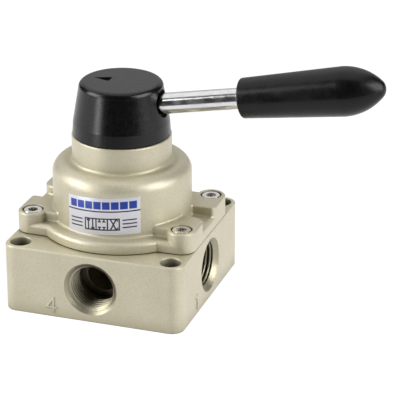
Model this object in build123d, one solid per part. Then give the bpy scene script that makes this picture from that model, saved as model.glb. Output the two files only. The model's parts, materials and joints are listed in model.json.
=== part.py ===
from build123d import *
from math import asin, atan2, cos, degrees, radians, sin, sqrt, tan
import os

# Hand lever air valve: a four-port rotary disc valve with three lever positions.
# Millimetres. The origin is the middle of the block's underside, +Z is up along the
# spindle, and the lever points along +X in its middle position.

# Port block
BLOCK_SIDE = 80.0
BLOCK_HEIGHT = 30.0
BLOCK_CORNER_R = 5.5
BLOCK_EDGE_R = 0.8
MOUNT_INSET = 6.25
MOUNT_HOLE_D = 9.0
MOUNT_EDGE_BREAK = 0.25

# Raised numeral beside each port
NUMERAL_HEIGHT = 6.2
NUMERAL_WIDTH = 4.2
NUMERAL_STROKE = 0.9
NUMERAL_RELIEF = 0.25
NUMERAL_FOOT_Z = 2.4
NUMERAL_ASIDE = 17.8

# Ports, G 1/2 pipe thread, one in the middle of each side
PORT_THREAD_D = 20.955
PORT_THREAD_DEPTH = 16.0
PORT_RIM_CHAMFER = 1.4
PORT_BORE_D = 14.5
PORT_BORE_PAST_PASSAGE = 0.5
PASSAGE_D = 10.0
PASSAGE_R = 15.0

# Port plate, its dowels and its seals
PLATE_RIM = 0.5
PLATE_THICKNESS = 4.5
PLATE_RECESS = 3.0
DOWEL_D = 3.0
DOWEL_LENGTH = 7.0
DOWEL_R = 19.0
DOWEL_ANGLE = 45.0
DOWEL_ABOVE_SEAT = 3.5
PORT_SEAL_WIDTH = 1.5
PORT_SEAL_HEIGHT = 1.3
PORT_SEAL_STEP = 0.6

# Cover: flange, lugs, round housing and neck
FLANGE_THICKNESS = 5.0
FLANGE_STEP = 6.0
FLANGE_EDGE_R = 1.8
COVER_SCREW_PITCH_Y = 39.5
LUG_R = 6.25
LUG_HEIGHT = 9.2
LUG_EDGE_BREAK = 0.5
LUG_CORNER_R = 6.0
LUG_TIGHT_CORNER_R = 1.8
LUG_GAP = 11.0
LUG_WEB_STEP = 5.0
HOUSING_HEIGHT = 30.0
HOUSING_WALL = 5.5
HOUSING_ROOF = 6.0
HOUSING_SHOULDER_R = 5.5
HOUSING_FOOT_R = 1.2
CAST_FILLET_R = 0.9
PARTING_BREAK = 0.35
NECK_D = 42.9
NECK_HEIGHT = 11.6
NECK_FOOT_R = 1.3
NECK_EDGE_R = 0.6
COVER_SEAL_D = 1.5
COVER_SEAL_LAND = 3.9

# Cover screws, M5 socket heads
SCREW_D = 5.0
SCREW_HEAD_D = 8.5
SCREW_HEAD_HEIGHT = 5.0
SCREW_HEAD_BREAK = 0.45
SCREW_SOCKET_AF = 4.0
SCREW_SOCKET_DEPTH = 2.6
SCREW_REACH = 10.0
TAPPED_HOLE_RUNOUT = 1.0
COUNTERBORE_D = 9.3
HEAD_BELOW_LUG = 0.2

# Spindle, its bearing and its seals
SHAFT_D = 16.0
SHAFT_FLATS = 12.0
DRIVE_FLANGE_D = 33.0
DRIVE_FLANGE_THICKNESS = 5.0
STUB_D = 10.0
STUB_IN_ROTOR = 3.0
THRUST_WASHER_D = 30.0
THRUST_WASHER_THICKNESS = 1.2
BUSH_WALL = 2.0
BUSH_LENGTH = 8.0
WIPER_WALL = 2.6
WIPER_HEIGHT = 3.0
SPINDLE_SEAL_D = 1.8
SPINDLE_SEAL_ABOVE_ROOF = 3.2
SPINDLE_TOP_WALL = 2.0

# Rotor disc, its spring and its drive pins
ROTOR_D = 45.0
ROTOR_CLEARANCE = 2.0
ROTOR_THICKNESS = 7.0
ROTOR_POCKET_DEPTH = 3.5
SWITCH_ANGLE = 45.0
DRIVE_PIN_D = 4.0
DRIVE_PIN_R = 13.0
DRIVE_PIN_REACH = 3.2
ROTOR_SPRING_WIRE = 1.8
ROTOR_SPRING_R = 8.0
ROTOR_SPRING_TURNS = 3

# Lever hub
HUB_HEIGHT = 22.8
HUB_BASE_D = 42.1
HUB_BAND_HEIGHT = 5.2
HUB_BAND_TOP_D = 41.4
HUB_TOP_D = 36.2
HUB_EDGE_R = 2.5
HUB_MOUTH_D = 12.0
HUB_MOUTH_START = 17.6
POINTER_TIP_R = 12.2
POINTER_LENGTH = 7.5
POINTER_WIDTH = 5.2
POINTER_DEPTH = 0.8

# Stop pin and detents between the neck and the hub
STOP_PIN_D = 3.0
STOP_PIN_R = 14.0
STOP_PIN_LENGTH = 8.0
STOP_PIN_PROUD = 2.2
STOP_PIN_BREAK = 0.375
BALL_D = 5.0
BALL_TRAVEL = 0.9
DETENT_R = 15.0
DETENT_POCKET_DEPTH = 12.0
DETENT_SPRING_WIRE = 0.7
DETENT_SPRING_TURNS = 5

# Lever rod and grip, along the rod from the spindle's axis
LEVER_TILT = 10.6
LEVER_IN_HUB = 11.1
ROD_D = 9.0
ROD_THREAD_D = 8.0
ROD_THREAD_PAST_AXIS = 5.0
GRIP_START = 54.7
GRIP_START_D = 17.0
GRIP_TAPER_LENGTH = 43.6
GRIP_BELLY_D = 20.7
GRIP_NOSE_R = 23.6
GRIP_NOSE_ANGLE = 45.0
GRIP_RIM_R = 0.8
GRIP_LIP = 3.0
INSERT_D = 12.0
INSERT_LENGTH = 20.0
ROD_THREAD_IN_INSERT = 17.0

# Clearances
SEATED_FIT = 0.05
RUNNING_FIT = 0.05
LAPPED_GAP = 0.05
HUB_GAP = 0.5
SOFT_GAP = 0.3
BALL_FIT = 0.2
BALL_LAND_GAP = 0.1
STOP_FIT = 0.3
ROD_FIT = 0.15
SPRING_FIT = 0.3
SPINDLE_SEAL_GAP = 0.2

# Levels worked out from the sizes above
PORT_AXIS_Z = BLOCK_HEIGHT / 2
SEAT_Z = BLOCK_HEIGHT - PLATE_RECESS
PLATE_TOP_Z = SEAT_Z + PLATE_THICKNESS
ROTOR_Z = PLATE_TOP_Z + LAPPED_GAP
ROTOR_TOP_Z = ROTOR_Z + ROTOR_THICKNESS
FLANGE_TOP_Z = BLOCK_HEIGHT + FLANGE_THICKNESS
LUG_TOP_Z = BLOCK_HEIGHT + LUG_HEIGHT
HOUSING_TOP_Z = BLOCK_HEIGHT + HOUSING_HEIGHT
ROOF_Z = HOUSING_TOP_Z - HOUSING_ROOF
NECK_TOP_Z = HOUSING_TOP_Z + NECK_HEIGHT
HUB_Z = NECK_TOP_Z + HUB_GAP
HUB_TOP_Z = HUB_Z + HUB_HEIGHT
LEVER_Z = HUB_Z + LEVER_IN_HUB
DRIVE_FLANGE_TOP_Z = ROOF_Z - THRUST_WASHER_THICKNESS - LAPPED_GAP
DRIVE_FLANGE_Z = DRIVE_FLANGE_TOP_Z - DRIVE_FLANGE_THICKNESS
BUSH_TOP_Z = NECK_TOP_Z - WIPER_HEIGHT
BUSH_Z = BUSH_TOP_Z - BUSH_LENGTH

# Widths worked out from the sizes above
MOUNT_PITCH = BLOCK_SIDE - 2 * MOUNT_INSET
COVER_SCREW_PITCH_X = BLOCK_SIDE - 2 * LUG_R
PAD_WIDTH_Y = COVER_SCREW_PITCH_Y + 2 * LUG_R
PLATE_R = ROTOR_D / 2 + PLATE_RIM
CAVITY_R = ROTOR_D / 2 + ROTOR_CLEARANCE
HOUSING_R = CAVITY_R + HOUSING_WALL
FLANGE_R = HOUSING_R + FLANGE_STEP
COVER_SEAL_R = CAVITY_R + COVER_SEAL_LAND
BUSH_BORE_R = SHAFT_D / 2 + RUNNING_FIT
BUSH_R = BUSH_BORE_R + BUSH_WALL
WIPER_BORE_R = SHAFT_D / 2 + SOFT_GAP
WIPER_R = WIPER_BORE_R + WIPER_WALL
SHAFT_FLAT_X = SHAFT_FLATS / 2
BALL_REST_Z = NECK_TOP_Z + BALL_LAND_GAP + BALL_D / 2
POCKET_R = BALL_D / 2 + BALL_FIT
POCKET_TOP_Z = HUB_Z + DETENT_POCKET_DEPTH
# The rod's shoulder stands square to the rod and just touches the spindle's flat.
ROD_SHOULDER = (SHAFT_FLAT_X + ROD_FIT + ROD_D / 2 * sin(radians(LEVER_TILT))) / cos(
    radians(LEVER_TILT)
)
INSERT_START = GRIP_START + GRIP_LIP


def upright(radius, z_low, z_high, x=0.0, y=0.0):
    """A vertical cylinder between two levels."""
    return Pos(x, y, z_low) * extrude(Circle(radius), z_high - z_low)


def ring(inner, outer, z_low, z_high):
    """A flat ring about the spindle's axis."""
    return Pos(0, 0, z_low) * extrude(Circle(outer) - Circle(inner), z_high - z_low)


def turned(points):
    """A solid of revolution about Z from (radius, level) corners."""
    return revolve(Plane.XZ * make_face(Polyline(*points, close=True)), Axis.Z)


def at_sides(shape):
    """Four copies of a shape, one for each side of the block."""
    return [Rot(0, 0, 90 * side) * shape for side in range(4)]


def at_corners(pitch_x, pitch_y):
    """The four corner places of a rectangle about the axis."""
    return [Pos(sx * pitch_x / 2, sy * pitch_y / 2, 0) for sx in (-1, 1) for sy in (-1, 1)]


def on_lever(shape):
    """Lay a shape made along +X on the tilted line of the lever."""
    return Pos(0, 0, LEVER_Z) * Rot(0, -LEVER_TILT, 0) * shape


def along_lever(radius, start, end):
    """A cylinder along the lever, from one distance to another."""
    profile = Pos(start, 0, 0) * Rot(0, 90, 0) * extrude(Circle(radius), end - start)
    return on_lever(profile)


def coil(mean_r, wire, z_low, z_high, turns):
    """A coil spring of round wire that stands between two levels."""
    height = z_high - z_low - wire
    path = Helix(height / turns, height, mean_r)
    section = Plane(origin=path @ 0, z_dir=path % 0) * Circle(wire / 2)
    return Pos(0, 0, z_low + wire / 2) * sweep(section, path=path, is_frenet=True)


def port_cut():
    """One port: rim chamfer, thread bore, inner bore and the passage up to the plate."""
    face = BLOCK_SIDE / 2
    thread_r = PORT_THREAD_D / 2
    thread_end = face - PORT_THREAD_DEPTH
    bore_end = PASSAGE_R - PASSAGE_D / 2 - PORT_BORE_PAST_PASSAGE
    rim_r = thread_r + PORT_RIM_CHAMFER
    profile = Polyline(
        (bore_end, 0),
        (face, 0),
        (face, rim_r),
        (face - PORT_RIM_CHAMFER, thread_r),
        (thread_end, thread_r),
        (thread_end, PORT_BORE_D / 2),
        (bore_end, PORT_BORE_D / 2),
        close=True,
    )
    bore = Pos(0, 0, PORT_AXIS_Z) * revolve(make_face(profile), Axis.X)
    passage = upright(PASSAGE_D / 2, PORT_AXIS_Z, SEAT_Z, PASSAGE_R)
    return bore + passage


def port_seal_radii():
    inner = PASSAGE_D / 2 + PORT_SEAL_STEP
    return inner, inner + PORT_SEAL_WIDTH


def make_base_block():
    plan = RectangleRounded(BLOCK_SIDE, BLOCK_SIDE, BLOCK_CORNER_R)
    block = extrude(plan, BLOCK_HEIGHT)
    block = fillet(block.faces().sort_by(Axis.Z)[-1].outer_wire().edges(), BLOCK_EDGE_R)
    for side, numeral in enumerate((4, 1, 2, 3)):
        block += Rot(0, 0, 90 * side) * raised_numeral(numeral)
    block -= upright(PLATE_R + SEATED_FIT, SEAT_Z, BLOCK_HEIGHT)
    block -= at_sides(port_cut())
    seal_outer = port_seal_radii()[1] + SEATED_FIT
    seal_floor = SEAT_Z - PORT_SEAL_HEIGHT - SEATED_FIT
    block -= at_sides(upright(seal_outer, seal_floor, SEAT_Z, PASSAGE_R))
    mount_r = MOUNT_HOLE_D / 2
    rim_r = mount_r + MOUNT_EDGE_BREAK
    hole = turned(
        [
            (0, 0),
            (rim_r, 0),
            (mount_r, MOUNT_EDGE_BREAK),
            (mount_r, BLOCK_HEIGHT - MOUNT_EDGE_BREAK),
            (rim_r, BLOCK_HEIGHT),
            (0, BLOCK_HEIGHT),
        ]
    )
    block -= [place * hole for place in at_corners(MOUNT_PITCH, MOUNT_PITCH)]
    tapped_foot = BLOCK_HEIGHT - SCREW_REACH - TAPPED_HOLE_RUNOUT
    tapped = upright(SCREW_D / 2 + SEATED_FIT, tapped_foot, BLOCK_HEIGHT)
    block -= [place * tapped for place in at_corners(COVER_SCREW_PITCH_X, COVER_SCREW_PITCH_Y)]
    for dowel in dowel_places():
        block -= dowel * upright(DOWEL_D / 2 + SEATED_FIT, dowel_foot() - SEATED_FIT, SEAT_Z)
    return block


def numeral_corners(numeral):
    """Corners of a plain numeral from 1 to 4, as shares of its width and of its height."""
    corners = {
        1: [(-0.28, 0.8), (0.05, 1), (0.05, 0)],
        2: [(-0.5, 0.78), (-0.3, 0.95), (0, 1), (0.3, 0.95), (0.5, 0.76), (0.4, 0.52), (-0.5, 0), (0.5, 0)],
        3: [(-0.5, 1), (0.5, 1), (0, 0.58), (0.35, 0.5), (0.5, 0.28), (0.35, 0.07), (0, 0), (-0.5, 0.12)],
        4: [(0.22, 0), (0.22, 1), (-0.5, 0.3), (0.5, 0.3)],
    }
    return [(across * NUMERAL_WIDTH, up * NUMERAL_HEIGHT) for across, up in corners[numeral]]


def bar(start, end):
    """One round-ended stroke of a numeral."""
    run = Vector(*end) - Vector(*start)
    middle = (Vector(*end) + Vector(*start)) / 2
    turn = Rot(0, 0, degrees(atan2(run.Y, run.X)))
    return Pos(middle.X, middle.Y) * turn * SlotCenterToCenter(run.length, NUMERAL_STROKE)


def raised_numeral(numeral):
    """A numeral that stands out of the front side, beside the port."""
    corners = numeral_corners(numeral)
    shape = Sketch() + [bar(start, end) for start, end in zip(corners, corners[1:])]
    side = Plane(
        origin=(-NUMERAL_ASIDE, -BLOCK_SIDE / 2, NUMERAL_FOOT_Z), x_dir=(1, 0, 0), z_dir=(0, -1, 0)
    )
    return side * extrude(shape, NUMERAL_RELIEF)


def dowel_places():
    return [Rot(0, 0, angle) * Pos(DOWEL_R, 0, 0) for angle in (DOWEL_ANGLE, -DOWEL_ANGLE)]


def dowel_foot():
    return SEAT_Z + DOWEL_ABOVE_SEAT - DOWEL_LENGTH


def make_port_plate():
    plate = upright(PLATE_R, SEAT_Z, PLATE_TOP_Z)
    plate -= at_sides(upright(PASSAGE_D / 2, SEAT_Z, PLATE_TOP_Z, PASSAGE_R))
    dowel_top = SEAT_Z + DOWEL_ABOVE_SEAT + SEATED_FIT
    for dowel in dowel_places():
        plate -= dowel * upright(DOWEL_D / 2 + SEATED_FIT, SEAT_Z, dowel_top)
    return plate


def make_plate_dowels():
    foot = dowel_foot()
    return [dowel * upright(DOWEL_D / 2, foot, foot + DOWEL_LENGTH) for dowel in dowel_places()]


def make_port_seals():
    inner, outer = port_seal_radii()
    one = Pos(PASSAGE_R, 0, 0) * ring(inner, outer, SEAT_Z - PORT_SEAL_HEIGHT, SEAT_Z)
    return at_sides(one)


def lug_plan(corner_r):
    """Plan of one lug: a boss round the screw, and the web that joins it to the housing.

    The web starts inside the housing, where the cavity trims it.
    """
    screw_x = COVER_SCREW_PITCH_X / 2
    screw_y = COVER_SCREW_PITCH_Y / 2
    side_x = BLOCK_SIDE / 2
    near_y = LUG_GAP / 2
    web_y = PAD_WIDTH_Y / 2 - LUG_WEB_STEP
    root_x = CAVITY_R / 2
    boss = Pos(screw_x, screw_y) * Circle(LUG_R)
    web = Polyline((root_x, near_y), (screw_x, near_y), (screw_x, web_y), (root_x, web_y), close=True)
    arm = Polyline((root_x, near_y), (side_x, near_y), (side_x, screw_y), (root_x, screw_y), close=True)
    arm_face = make_face(arm)
    corner = arm_face.vertices().sort_by_distance((side_x, near_y, 0))[0]
    arm_face = fillet(corner, corner_r)
    return boss + make_face(web) + arm_face


def make_flange():
    plan = Circle(FLANGE_R) + RectangleRounded(BLOCK_SIDE, PAD_WIDTH_Y, LUG_R)
    flange = Pos(0, 0, BLOCK_HEIGHT) * extrude(plan, FLANGE_THICKNESS)
    top_edges = flange.faces().sort_by(Axis.Z)[-1].outer_wire().edges()
    return fillet(top_edges, FLANGE_EDGE_R)


def make_lug(corner_r):
    lug = Pos(0, 0, BLOCK_HEIGHT) * extrude(lug_plan(corner_r), LUG_HEIGHT)
    return chamfer(lug.faces().sort_by(Axis.Z)[-1].outer_wire().edges(), LUG_EDGE_BREAK)


def make_lugs():
    """Four lugs, each with a tight inner corner if it leads on anticlockwise, else a round one."""
    pair = [make_lug(LUG_TIGHT_CORNER_R), mirror(make_lug(LUG_CORNER_R), Plane.XZ)]
    return pair + [Rot(0, 0, 180) * one for one in pair]


def inner_corners(casting):
    """Edges of the casting where the lugs meet the housing's wall."""
    found = []
    for edge in casting.edges():
        middle = edge @ 0.5
        from_wall = abs(sqrt(middle.X**2 + middle.Y**2) - HOUSING_R)
        if from_wall < SEATED_FIT and FLANGE_TOP_Z + CAST_FILLET_R < middle.Z < LUG_TOP_Z + SEATED_FIT:
            found.append(edge)
    return found


def make_housing():
    """The round housing and the neck as one turned form."""
    wall_r = HOUSING_R
    neck_r = NECK_D / 2
    foot = FLANGE_TOP_Z
    shoulder = HOUSING_SHOULDER_R
    outline = [
        Line((0, BLOCK_HEIGHT), (wall_r, BLOCK_HEIGHT)),
        Line((wall_r, BLOCK_HEIGHT), (wall_r + HOUSING_FOOT_R, foot)),
        RadiusArc((wall_r + HOUSING_FOOT_R, foot), (wall_r, foot + HOUSING_FOOT_R), HOUSING_FOOT_R),
        Line((wall_r, foot + HOUSING_FOOT_R), (wall_r, HOUSING_TOP_Z - shoulder)),
        RadiusArc((wall_r, HOUSING_TOP_Z - shoulder), (wall_r - shoulder, HOUSING_TOP_Z), -shoulder),
        Line((wall_r - shoulder, HOUSING_TOP_Z), (neck_r + NECK_FOOT_R, HOUSING_TOP_Z)),
        RadiusArc(
            (neck_r + NECK_FOOT_R, HOUSING_TOP_Z), (neck_r, HOUSING_TOP_Z + NECK_FOOT_R), NECK_FOOT_R
        ),
        Line((neck_r, HOUSING_TOP_Z + NECK_FOOT_R), (neck_r, NECK_TOP_Z - NECK_EDGE_R)),
        RadiusArc((neck_r, NECK_TOP_Z - NECK_EDGE_R), (neck_r - NECK_EDGE_R, NECK_TOP_Z), -NECK_EDGE_R),
        Line((neck_r - NECK_EDGE_R, NECK_TOP_Z), (0, NECK_TOP_Z)),
        Line((0, NECK_TOP_Z), (0, BLOCK_HEIGHT)),
    ]
    return revolve(Plane.XZ * make_face(outline), Axis.Z)


def detent_dimples():
    """Three spherical dimples for each ball, one at every lever position."""
    dimple = Sphere(BALL_D / 2 + BALL_FIT)
    turns = [side + step * SWITCH_ANGLE for side in (90, -90) for step in (-1, 0, 1)]
    return [Rot(0, 0, turn) * Pos(DETENT_R, 0, BALL_REST_Z - BALL_TRAVEL) * dimple for turn in turns]


def make_valve_cover():
    cover = make_flange() + make_lugs() + make_housing()
    cover = fillet(inner_corners(cover), CAST_FILLET_R)
    cover = chamfer(cover.faces().sort_by(Axis.Z)[0].outer_wire().edges(), PARTING_BREAK)
    cover -= upright(CAVITY_R, BLOCK_HEIGHT, ROOF_Z)
    cover -= upright(SHAFT_D / 2 + SPINDLE_SEAL_GAP, ROOF_Z, NECK_TOP_Z)
    cover -= upright(BUSH_R + SEATED_FIT, BUSH_Z, NECK_TOP_Z)
    cover -= upright(WIPER_R + SEATED_FIT, BUSH_TOP_Z, NECK_TOP_Z)
    seal_r = COVER_SEAL_D / 2 + SEATED_FIT
    cover -= ring(
        COVER_SEAL_R - seal_r, COVER_SEAL_R + seal_r, BLOCK_HEIGHT, BLOCK_HEIGHT + 2 * seal_r
    )
    screw_hole = upright(SCREW_D / 2 + SEATED_FIT, BLOCK_HEIGHT, LUG_TOP_Z)
    screw_hole += upright(COUNTERBORE_D / 2, head_seat_z(), LUG_TOP_Z)
    cover -= [place * screw_hole for place in at_corners(COVER_SCREW_PITCH_X, COVER_SCREW_PITCH_Y)]
    cover -= Pos(-STOP_PIN_R, 0, 0) * upright(
        STOP_PIN_D / 2 + SEATED_FIT, stop_pin_foot() - SEATED_FIT, NECK_TOP_Z
    )
    cover -= detent_dimples()
    return cover


def head_seat_z():
    return LUG_TOP_Z - HEAD_BELOW_LUG - SCREW_HEAD_HEIGHT


def stop_pin_foot():
    return NECK_TOP_Z + STOP_PIN_PROUD - STOP_PIN_LENGTH


def make_cover_seal():
    return Pos(0, 0, BLOCK_HEIGHT + COVER_SEAL_D / 2 + SEATED_FIT) * Torus(
        COVER_SEAL_R, COVER_SEAL_D / 2
    )


def make_cover_screws():
    seat = head_seat_z()
    head_top = seat + SCREW_HEAD_HEIGHT
    head_r = SCREW_HEAD_D / 2
    shank_r = SCREW_D / 2
    foot = BLOCK_HEIGHT - SCREW_REACH
    screw = turned(
        [
            (0, foot),
            (shank_r, foot),
            (shank_r, seat),
            (head_r, seat),
            (head_r, head_top - SCREW_HEAD_BREAK),
            (head_r - SCREW_HEAD_BREAK, head_top),
            (0, head_top),
        ]
    )
    hexagon = RegularPolygon(SCREW_SOCKET_AF / 2, 6, major_radius=False)
    socket = Pos(0, 0, head_top - SCREW_SOCKET_DEPTH) * extrude(hexagon, SCREW_SOCKET_DEPTH)
    screw -= socket
    return [place * screw for place in at_corners(COVER_SCREW_PITCH_X, COVER_SCREW_PITCH_Y)]


def make_neck_bush():
    return ring(BUSH_BORE_R, BUSH_R, BUSH_Z, BUSH_TOP_Z)


def make_wiper_ring():
    return ring(WIPER_BORE_R, WIPER_R, BUSH_TOP_Z, NECK_TOP_Z)


def make_thrust_washer():
    return ring(SHAFT_D / 2 + SOFT_GAP, THRUST_WASHER_D / 2, ROOF_Z - THRUST_WASHER_THICKNESS, ROOF_Z)


def make_stop_pin():
    foot = stop_pin_foot()
    pin = upright(STOP_PIN_D / 2, foot, foot + STOP_PIN_LENGTH, -STOP_PIN_R)
    return chamfer(pin.edges().group_by(Axis.Z)[-1], STOP_PIN_BREAK)


def spindle_seal_z():
    return ROOF_Z + SPINDLE_SEAL_ABOVE_ROOF


def make_spindle():
    shaft_r = SHAFT_D / 2
    groove = SPINDLE_SEAL_D / 2 + SEATED_FIT
    groove_r = spindle_seal_r() - groove
    seal_z = spindle_seal_z()
    top = spindle_top_z()
    spindle = turned(
        [
            (0, ROTOR_TOP_Z - STUB_IN_ROTOR),
            (STUB_D / 2, ROTOR_TOP_Z - STUB_IN_ROTOR),
            (STUB_D / 2, DRIVE_FLANGE_Z),
            (DRIVE_FLANGE_D / 2, DRIVE_FLANGE_Z),
            (DRIVE_FLANGE_D / 2, DRIVE_FLANGE_TOP_Z),
            (shaft_r, DRIVE_FLANGE_TOP_Z),
            (shaft_r, seal_z - groove),
            (groove_r, seal_z - groove),
            (groove_r, seal_z + groove),
            (shaft_r, seal_z + groove),
            (shaft_r, top),
            (0, top),
        ]
    )
    flat_width = shaft_r - SHAFT_FLATS / 2
    flat = Pos(SHAFT_FLATS / 2 + flat_width / 2, 0, (HUB_Z + top) / 2) * Box(
        flat_width, SHAFT_D, top - HUB_Z
    )
    spindle -= [flat, Rot(0, 0, 180) * flat]
    spindle -= along_lever(ROD_THREAD_D / 2 + SEATED_FIT, -SHAFT_D, SHAFT_D)
    pin_hole = upright(DRIVE_PIN_D / 2 + SEATED_FIT, DRIVE_FLANGE_Z, DRIVE_FLANGE_TOP_Z, 0, DRIVE_PIN_R)
    spindle -= [pin_hole, Rot(0, 0, 180) * pin_hole]
    return spindle


def spindle_seal_r():
    """Mean radius of the spindle seal, which stands a little proud of its groove."""
    return SHAFT_D / 2 + SPINDLE_SEAL_GAP / 2 - SPINDLE_SEAL_D / 2


def spindle_top_z():
    """The spindle ends a wall above the cross hole for the rod."""
    rise = SHAFT_FLAT_X * tan(radians(LEVER_TILT))
    return LEVER_Z + rise + ROD_THREAD_D / 2 / cos(radians(LEVER_TILT)) + SPINDLE_TOP_WALL


def make_spindle_seal():
    return Pos(0, 0, spindle_seal_z()) * Torus(spindle_seal_r(), SPINDLE_SEAL_D / 2)


def make_rotor_disc():
    rotor = upright(ROTOR_D / 2, ROTOR_Z, ROTOR_TOP_Z)
    track = SlotArc(CenterArc((0, 0), PASSAGE_R, -SWITCH_ANGLE, 2 * SWITCH_ANGLE), PASSAGE_D)
    pocket = Pos(0, 0, ROTOR_Z) * extrude(track, ROTOR_POCKET_DEPTH)
    rotor -= [pocket, Rot(0, 0, 180) * pocket]
    socket_foot = ROTOR_TOP_Z - STUB_IN_ROTOR - SEATED_FIT
    rotor -= upright(STUB_D / 2 + SEATED_FIT, socket_foot, ROTOR_TOP_Z)
    pin_hole = upright(
        DRIVE_PIN_D / 2 + SEATED_FIT, ROTOR_TOP_Z - DRIVE_PIN_REACH - SEATED_FIT, ROTOR_TOP_Z, 0, DRIVE_PIN_R
    )
    rotor -= [pin_hole, Rot(0, 0, 180) * pin_hole]
    return rotor


def make_drive_pins():
    pin = upright(DRIVE_PIN_D / 2, ROTOR_TOP_Z - DRIVE_PIN_REACH, DRIVE_FLANGE_TOP_Z, 0, DRIVE_PIN_R)
    return [pin, Rot(0, 0, 180) * pin]


def make_rotor_spring():
    return coil(ROTOR_SPRING_R, ROTOR_SPRING_WIRE, ROTOR_TOP_Z, DRIVE_FLANGE_Z, ROTOR_SPRING_TURNS)


def detent_pocket(side):
    return upright(POCKET_R, HUB_Z, POCKET_TOP_Z, 0, side * DETENT_R)


def stop_groove():
    """The arc in which the stop pin runs from one lever position to the other."""
    pin_r = STOP_PIN_D / 2
    play = degrees(asin(STOP_FIT / STOP_PIN_R))
    sweep_half = SWITCH_ANGLE + play
    arc = CenterArc((0, 0), STOP_PIN_R, 180 - sweep_half, 2 * sweep_half)
    depth = NECK_TOP_Z + STOP_PIN_PROUD + STOP_FIT - HUB_Z
    return Pos(0, 0, HUB_Z) * extrude(SlotArc(arc, 2 * (pin_r + STOP_FIT)), depth)


def make_lever_hub():
    top_r = HUB_TOP_D / 2
    edge = HUB_EDGE_R
    band_top = HUB_Z + HUB_BAND_HEIGHT
    outline = [
        Line((0, HUB_Z), (HUB_BASE_D / 2, HUB_Z)),
        Line((HUB_BASE_D / 2, HUB_Z), (HUB_BAND_TOP_D / 2, band_top)),
        Line((HUB_BAND_TOP_D / 2, band_top), (top_r, HUB_TOP_Z - edge)),
        RadiusArc((top_r, HUB_TOP_Z - edge), (top_r - edge, HUB_TOP_Z), -edge),
        Line((top_r - edge, HUB_TOP_Z), (0, HUB_TOP_Z)),
        Line((0, HUB_TOP_Z), (0, HUB_Z)),
    ]
    hub = revolve(Plane.XZ * make_face(outline), Axis.Z)
    socket_top = spindle_top_z() + SEATED_FIT
    socket = Circle(SHAFT_D / 2 + SEATED_FIT) & Rectangle(SHAFT_FLATS + 2 * SEATED_FIT, 2 * SHAFT_D)
    hub -= Pos(0, 0, HUB_Z) * extrude(socket, socket_top - HUB_Z)
    hub -= along_lever(ROD_D / 2 + ROD_FIT, 0, HUB_BASE_D)
    hub -= along_lever(HUB_MOUTH_D / 2, HUB_MOUTH_START, HUB_BASE_D)
    hub -= [detent_pocket(side) for side in (1, -1)]
    hub -= stop_groove()
    pointer = Polyline(
        (-POINTER_TIP_R, 0),
        (POINTER_LENGTH - POINTER_TIP_R, -POINTER_WIDTH / 2),
        (POINTER_LENGTH - POINTER_TIP_R, POINTER_WIDTH / 2),
        close=True,
    )
    hub -= Pos(0, 0, HUB_TOP_Z - POINTER_DEPTH) * extrude(make_face(pointer), POINTER_DEPTH)
    return hub


def make_detent_ball(side):
    return Pos(0, side * DETENT_R, BALL_REST_Z) * Sphere(BALL_D / 2)


def make_detent_spring(side):
    """The coil rests on the ball's shoulder and fills the pocket above it."""
    mean_r = POCKET_R - SPRING_FIT - DETENT_SPRING_WIRE / 2
    touch = BALL_D / 2 + DETENT_SPRING_WIRE / 2 + SEATED_FIT
    foot = BALL_REST_Z + sqrt(touch * touch - mean_r * mean_r) - DETENT_SPRING_WIRE / 2
    spring = coil(mean_r, DETENT_SPRING_WIRE, foot, POCKET_TOP_Z, DETENT_SPRING_TURNS)
    return Pos(0, side * DETENT_R, 0) * spring


def make_lever_rod():
    rod = along_lever(ROD_D / 2, ROD_SHOULDER, INSERT_START)
    rod += along_lever(ROD_THREAD_D / 2, -ROD_THREAD_PAST_AXIS, ROD_SHOULDER)
    rod += along_lever(ROD_THREAD_D / 2, INSERT_START, INSERT_START + ROD_THREAD_IN_INSERT)
    return rod


def make_grip_insert():
    insert = along_lever(INSERT_D / 2, INSERT_START, INSERT_START + INSERT_LENGTH)
    return insert - along_lever(ROD_THREAD_D / 2 + SEATED_FIT, INSERT_START, INSERT_START + INSERT_LENGTH)


def make_lever_grip():
    """A long tapered grip with a pointed arch for its nose and a ball for its tip."""
    belly = GRIP_START + GRIP_TAPER_LENGTH
    belly_r = GRIP_BELLY_D / 2
    lean = radians(GRIP_NOSE_ANGLE)
    arch_x = belly + GRIP_NOSE_R * sin(lean)
    arch_r = belly_r - GRIP_NOSE_R + GRIP_NOSE_R * cos(lean)
    ball_r = arch_r / cos(lean)
    tip_x = arch_x - ball_r * sin(lean) + ball_r
    start_r = GRIP_START_D / 2
    rim = GRIP_RIM_R
    outline = [
        Line((GRIP_START, 0), (GRIP_START, start_r - rim)),
        RadiusArc((GRIP_START, start_r - rim), (GRIP_START + rim, start_r), rim),
        Line((GRIP_START + rim, start_r), (belly, belly_r)),
        RadiusArc((belly, belly_r), (arch_x, arch_r), GRIP_NOSE_R),
        RadiusArc((arch_x, arch_r), (tip_x, 0), ball_r),
        Line((tip_x, 0), (GRIP_START, 0)),
    ]
    grip = on_lever(revolve(make_face(outline), Axis.X))
    grip -= along_lever(ROD_D / 2 + ROD_FIT, GRIP_START, INSERT_START)
    grip -= along_lever(INSERT_D / 2 + SEATED_FIT, INSERT_START, INSERT_START + INSERT_LENGTH + SEATED_FIT)
    return grip


def save(name, shapes):
    """Write one sub-part, which may be a group of separate solids."""
    solids = []
    for shape in shapes if isinstance(shapes, list) else [shapes]:
        solids.extend(shape.solids())
    body = solids[0] if len(solids) == 1 else Compound(children=solids)
    export_step(body, f"parts/{name}.step")


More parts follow.
